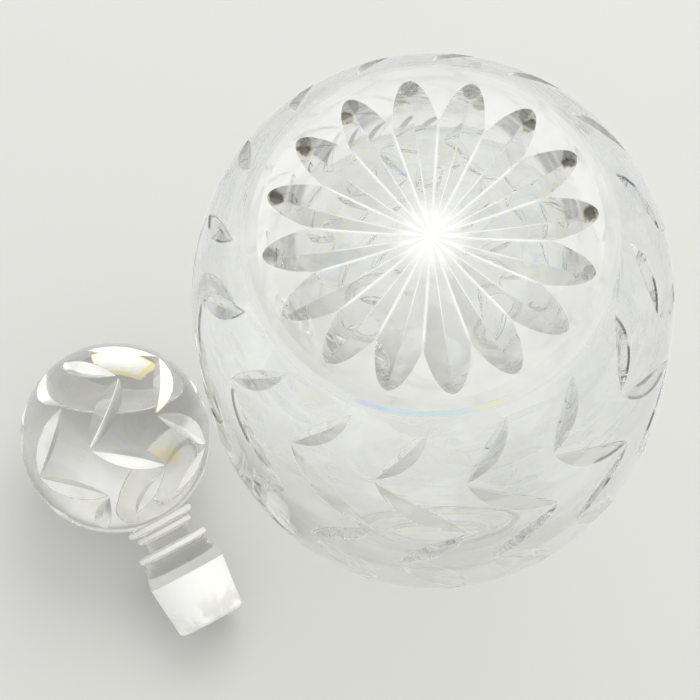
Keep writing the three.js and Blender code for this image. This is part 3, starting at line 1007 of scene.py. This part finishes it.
def leaf_shades(graph, at):
    """Where the leaf cuts are, their painted shade, a painted highlight on their upper edge, and a
    painted highlight on lower flanks turned right.
    """
    depth, tilt = body_slope(at)
    in_leaf = (1 - depth.below(*LEAF_START)) * depth.below(*LEAF_BOTTOM)
    in_leaf = in_leaf * (1 - at.under.below(FOOT_CHAMFER_HEIGHT + 1 * MM, 0.3 * MM))
    in_leaf = in_leaf * (1 - at.z.below(*LEAVES_END))
    lower_flank = 1 - (at.facing[2] - tilt).below(0, 0.08)
    rightwards = (at.facing[1] * at.across - at.facing[0] * at.y) / at.out
    turned_right = 1 - rightwards.below(0, 0.06)

    # Painted shade: lower flanks turned left are darker, the back rim's lower flanks darker still,
    # with dark slivers at the sides
    back_rim = (1 - at.y.below(*WALL_BACK)) * at.under.below(*BACK_RIM_DEPTH)
    flank_shade = LOWER_FLANK_SHADE * (1 - 0.8 * turned_right)
    flank_shade = lower_flank * flank_shade.high(back_rim * BACK_FLANK_SHADE)
    flank_shade = flank_shade + (1 - lower_flank) * UPPER_FLANK_SHADE
    at_side = 1 - abs(at.across).below(*WALL_SIDES)
    rims = depth.below(*LEAF_RIM).high(1 - depth.below(*LEAF_KEEL))
    slivers = graph.patches(*SLIVERS) * rims * at_side
    shade = in_leaf * flank_shade.high(slivers * SLIVER_SHADE)
    # A painted highlight along each leaf's upper edge
    edge = in_leaf * (1 - lower_flank) * depth.below(*LEAF_EDGE)
    return in_leaf, shade, edge, in_leaf * lower_flank * turned_right


def wall_light(graph, at):
    """The light that the wall keeps under painted shade: in facet-like patches, darker at grazing
    edges, and darker on the far wall.
    """
    place = graph.value("ShaderNodeTexCoord", output="Object")
    inputs = {"Vector": place, "Scale": FACET_SCALE, "Smoothness": FACET_SMOOTHNESS}
    facets = graph.value("ShaderNodeTexVoronoi", {"feature": "SMOOTH_F1"}, inputs, output=1)
    shades = Value(graph, graph.node("ShaderNodeSeparateColor", inputs=[facets]).outputs[0])
    grazing = graph.value("ShaderNodeLayerWeight", inputs={"Blend": 0.5}, output=1) ** 5
    far_wall = at.on_wall * (1 - at.y.below(*FAR_WALL)) * at.under.below(*FAR_WALL_DEPTH)
    light = 1 - at.on_wall * shades * FACET_SHADE
    light = light * (1 - at.on_wall * grazing * EDGE_SHADE)
    return light * (1 - far_wall * FAR_WALL_SHADE)


def foot_colours(graph, at):
    """Where a painted rainbow of split light lies on the near part of the foot's chamfer, and its
    colours.
    """
    chamfer = (at.out - FOOT_RADIUS) / FOOT_CHAMFER_WIDTH
    on_chamfer = at.under.below(FOOT_CHAMFER_HEIGHT, 0.3 * MM)
    on_chamfer = on_chamfer * (1 - chamfer.below(0.05, 0.15)) * chamfer.below(0.7, 0.2)
    around = at.turn / FOOT_COLOUR_REACH
    return on_chamfer * abs(around).below(0.9, 0.15), graph.ramp(around * 0.5 + 0.5, FOOT_RAINBOW)


def decanter_finish_and_painted_light(graph):
    """White star centre, painted highlights on cut edges and land, ground bore, and painted shades
    and colours of petals, leaves, wall and foot.
    """
    at = DecanterPlace(graph)
    from_keel, from_ridge, past_keel = petal_places(at)
    petals_keep, yellow = petal_tips(graph, at, from_keel, past_keel)
    in_leaf, leaf_shade, leaf_edge, pale_flank_highlight = leaf_shades(graph, at)
    # Painted shade of petals, leaves and wall, with a painted rainbow and yellow fringes, carried
    # in the tint
    light = petals_keep * (1 - leaf_shade) * wall_light(graph, at)
    painted_shade = graph.value("ShaderNodeCombineColor", inputs=[light, light, light])
    at_foot, rainbow = foot_colours(graph, at)
    inputs = {0: at_foot, 6: CRYSTAL_TINT, 7: rainbow}
    tint = graph.value("ShaderNodeMix", {"data_type": "RGBA"}, inputs, output=2)
    tint = graph.tinted(tint, painted_shade, 1)
    tint = graph.tinted(tint, SPOT_YELLOW, yellow)

    # Painted highlight on the flat land of the base and the front of the foot's chamfer, in patches
    land = (1 - at.on_wall) * (1 - at.in_petal) * (1 - at_foot)
    land_highlight = at.out.below(LAND_RADIUS, 0.3 * MM).high(at.y.below(*CHAMFER_FRONT) * 0.8)
    land_highlight = land * land_highlight * (0.5 + 0.5 * graph.patches(*LAND_HIGHLIGHT_PATCHES))
    # White ground: the star's middle, and painted highlights on ridges, keels, leaf edges and land
    white = star_whites(at, from_keel, from_ridge)
    white = white.high(leaf_edge * LEAF_EDGE_HIGHLIGHT).high(land_highlight * LAND_HIGHLIGHT)

    in_bore = at.z.below(BORE_LENGTH, 0.6 * MM) * at.out.below(MOUTH_RADIUS + 0.4 * MM, 0.2 * MM)
    # Painted highlights: pale streaks on the wall below the foot
    glint_streaks = graph.patches(*GLINT_STREAKS, (at.across, at.y, at.z * 4))
    glint_streaks = glint_streaks * at.on_wall * at.under.below(*GLINT_STREAKS_END) * (1 - in_leaf)
    # Mist: the ground bore, and painted highlights on the wall, the lower flanks and the land
    misty = in_bore.high(glint_streaks * GLINT_STREAK_HIGHLIGHT).high(pale_flank_highlight * PALE_FLANK_HIGHLIGHT)
    misty = misty.high(land * LAND_HIGHLIGHT_MIST)
    in_cuts = at.in_petal.high(in_leaf)
    return white, misty, fringed(graph, tint, share=0.2 + 0.6 * in_cuts, scale=85)


# The stopper's finish, painted highlights, painted shades and painted colours


def stopper_whites(graph, along, out, plug, lower_flanks, ring_crests):
    """The white ground plug, clearer in patches near its end, and painted highlights on the leaves'
    lower flanks and on the rings' crests.
    """
    # Painted highlights on the ball leaves' lower flanks, dimmer near the keel
    near_keel = 1 - out.below(*BALL_KEEL)
    highlight_mottling = 0.75 + 0.25 * graph.patches(*HIGHLIGHT_MOTTLES)
    ball_leaf_highlight = lower_flanks * (BALL_LEAF_HIGHLIGHT - KEEL_DROP * near_keel) * highlight_mottling
    # The ground white thins out in patches towards the plug's end
    clearer_end = along.below(PLUG_END + 6 * MM, 4 * MM) * graph.patches(*END_CLEAR_PATCHES)
    white = plug.high(ball_leaf_highlight).high(ring_crests * RING_HIGHLIGHT)
    return white * (1 - clearer_end * END_CLEAR_SHARE)


def ball_colours(graph, x, y, z, tint, on_ball):
    """The tint with a painted patch of the colours that the ball splits out of the light, in one
    place.
    """
    from_prism = ((x - PRISM.x) ** 2 + (y - PRISM.y) ** 2 + (z - PRISM.z) ** 2) ** 0.5
    height = (y - PRISM.y) / PRISM_RADIUS * 0.5 + 0.35 + graph.noise(200, 1) * 0.3
    share = from_prism.below(PRISM_RADIUS, PRISM_RADIUS / 2) * graph.patches(*PRISM_PATCHES)
    return graph.tinted(tint, graph.ramp(height, PRISM_COLOURS), share * on_ball)


def stopper_finish_and_painted_light(graph):
    """The ground plug, the ball with painted highlights on its leaves and painted shade on its far
    half, and the stem's rings.
    """
    x, y, z = graph.axes("Object")
    rows = STOPPER_MATRIX.inverted().row[:3]
    here = [x * row[0] + y * row[1] + z * row[2] + row[3] for row in rows]
    along = here[2]
    out = (here[0] * here[0] + here[1] * here[1] + along * along) ** 0.5
    in_leaf = out.below(*BALL_LEAF_START) * (1 - along.below(BALL_BOTTOM + 1 * MM, 0.3 * MM))
    lower_flank = 1 - (outward_normal(graph)[2] - (z - BALL_RADIUS) / BALL_RADIUS).below(0, 0.08)
    plug = along.below(PLUG_TOP - 0.2 * MM, 0.25 * MM)
    under_ball = along.below(BALL_BOTTOM, 0.3 * MM)
    on_ball = (1 - in_leaf) * (1 - under_ball)
    stem = (1 - plug) * under_ball
    on_rings = 1 - along.below(PLUG_TOP + CONE_LENGTH, 0.2 * MM)
    # Painted highlights on the rings' crests
    crests = sum(abs(along - middle).below(*RING_CREST) for middle in RING_MIDDLES)
    white = stopper_whites(graph, along, out, plug, in_leaf * lower_flank, stem * crests)

    # Painted shade on the ball's far half and in patches
    far_half = 1 - (y - LYING_ASIDE).below(*BALL_BACK)
    light = 1 - on_ball * far_half * BALL_SHADE
    light = light * (1 - on_ball * graph.patches(*BALL_PATCHES) * BALL_PATCH_SHADE)
    # Painted shade on the cone and between the rings
    light = light * (1 - stem * (1 - on_rings) * CONE_SHADE)
    light = light * (1 - stem * on_rings * (1 - crests) * RING_SHADE)
    tint = graph.value("ShaderNodeCombineColor", inputs=[light, light, light * BALL_WARMTH])
    tint = ball_colours(graph, x, y, z, tint, on_ball)
    return white, stem * on_rings * STEM_MIST, fringed(graph, tint, share=0.7, scale=150)


# Stage, light and camera


def make_floor():
    """The plain table. Rays through the glass find it brighter where the photograph does."""
    bpy.ops.mesh.primitive_circle_add(vertices=TABLE_STEPS, radius=TABLE_RADIUS, fill_type="NGON")
    floor = bpy.context.object
    floor.name = "floor"
    material = bpy.data.materials.new("pale_table")
    graph = Graph(material)
    inputs = {"Base Color": TABLE_COLOUR, "Roughness": 1, "Specular IOR Level": 0}
    matt = graph.value("ShaderNodeBsdfPrincipled", inputs=inputs)
    # For rays through the glass the table has a painted glow, left out near the ball, and a painted
    # pool of gathered light beside the ball
    glow = graph.value("ShaderNodeEmission", inputs={"Color": FLOOR_GLOW_COLOUR, "Strength": 1})
    x, y, _ = graph.axes("Object")
    from_ball = ((x - BALL_X) ** 2 + (y - LYING_ASIDE) ** 2) ** 0.5
    far_off = 1 - ((x * x + y * y) ** 0.5).below(*TABLE_NEAR)
    bright = (1 - y.below(*TABLE_FRONT)).high(far_off) * (1 - from_ball.below(*BALL_SHADOW))
    gathered = ((x - GATHERED_X) ** 2 + (y - GATHERED_Y) ** 2) ** 0.5
    bright = bright.high(gathered.below(*GATHERED_SPOT) * GATHERED_LIGHT)
    through_glass = graph.rays("Is Glossy Ray", "Is Transmission Ray") * bright
    mixed = graph.value("ShaderNodeMixShader", inputs=[through_glass * FLOOR_GLOW, matt, glow])
    graph.node("ShaderNodeOutputMaterial", inputs={"Surface": mixed})
    floor.data.materials.append(material)


def make_world():
    """A plain white studio, which the glass mirrors a little brighter at the back."""
    world = bpy.data.worlds.new("studio")
    bpy.context.scene.world = world
    graph = Graph(world)
    lit = {"Color": STUDIO_WHITE, "Strength": WORLD_LIGHT}
    towards_back = graph.axes("Generated")[1]
    mirrored = {"Color": STUDIO_WHITE, "Strength": MIRRORED_LIGHT + BACK_LIGHT * towards_back}
    lighting, white = [graph.value("ShaderNodeBackground", inputs=i) for i in (lit, mirrored)]
    in_glass = graph.rays("Is Glossy Ray", "Is Transmission Ray")
    mixed = graph.value("ShaderNodeMixShader", inputs=[in_glass, lighting, white])
    graph.node("ShaderNodeOutputWorld", inputs={"Surface": mixed})


def area_light(name, size, light, colour, place, facing):
    """A lamp of this radiance, which the camera and rays through glass don't see."""
    data = bpy.data.lights.new(name, "AREA")
    data.shape = "RECTANGLE"
    data.size, data.size_y = size
    data.energy = light * math.pi * size[0] * size[1]
    data.color = colour
    lamp = bpy.data.objects.new(name, data)
    lamp.location = place
    lamp.rotation_euler = facing.to_track_quat("-Z", "Y").to_euler()
    lamp.visible_camera = False
    lamp.visible_transmission = False
    bpy.context.scene.collection.objects.link(lamp)
    return lamp


def make_lamps():
    """The softbox, and a window with a yellow edge low behind the ball, for it to mirror."""
    away = Vector(SOFTBOX_WAY).normalized()
    place = Vector(SOFTBOX_AIM) + away * SOFTBOX_DISTANCE
    softbox = area_light("softbox", SOFTBOX_SIZE, SOFTBOX_LIGHT, SOFTBOX_COLOUR, place, -away)
    softbox.visible_glossy = False
    for name, size, colour, place in WINDOW_PANES:
        pane = area_light(name, size, WINDOW_LIGHT, colour, place, Vector((0, -1, 0)))
        pane.visible_diffuse = False
        pane.data.spread = WINDOW_SPREAD


def make_camera():
    """The camera fitted to the photograph's star and outline."""
    data = bpy.data.cameras.new("camera")
    data.sensor_width = CAMERA_SENSOR
    data.lens = CAMERA_LENS
    camera = bpy.data.objects.new("camera", data)
    up = Vector(CAMERA_UP)
    back = Vector(CAMERA_RIGHT).cross(up).normalized()
    right = up.cross(back).normalized()
    up = back.cross(right)
    matrix = Matrix((right, up, back)).transposed().to_4x4()
    matrix.translation = Vector(CAMERA_PLACE)
    camera.matrix_world = matrix
    bpy.context.scene.collection.objects.link(camera)
    bpy.context.scene.camera = camera


# The whole scene


STOPPER_OUTLINE, PLUG_TOP, PLUG_END, RING_MIDDLES = stopper_profile()
STOPPER_MATRIX = lying_matrix(PLUG_END)
PRISM = STOPPER_MATRIX.translation + BALL_RADIUS * Vector(PRISM_WAY)
make_decanter()
make_stopper()
make_floor()
make_world()
make_lamps()
make_camera()

scene = bpy.context.scene
scene.view_settings.view_transform = "Standard"
scene.cycles.max_bounces = LIGHT_BOUNCES
scene.cycles.transmission_bounces = LIGHT_BOUNCES
scene.cycles.glossy_bounces = LIGHT_BOUNCES
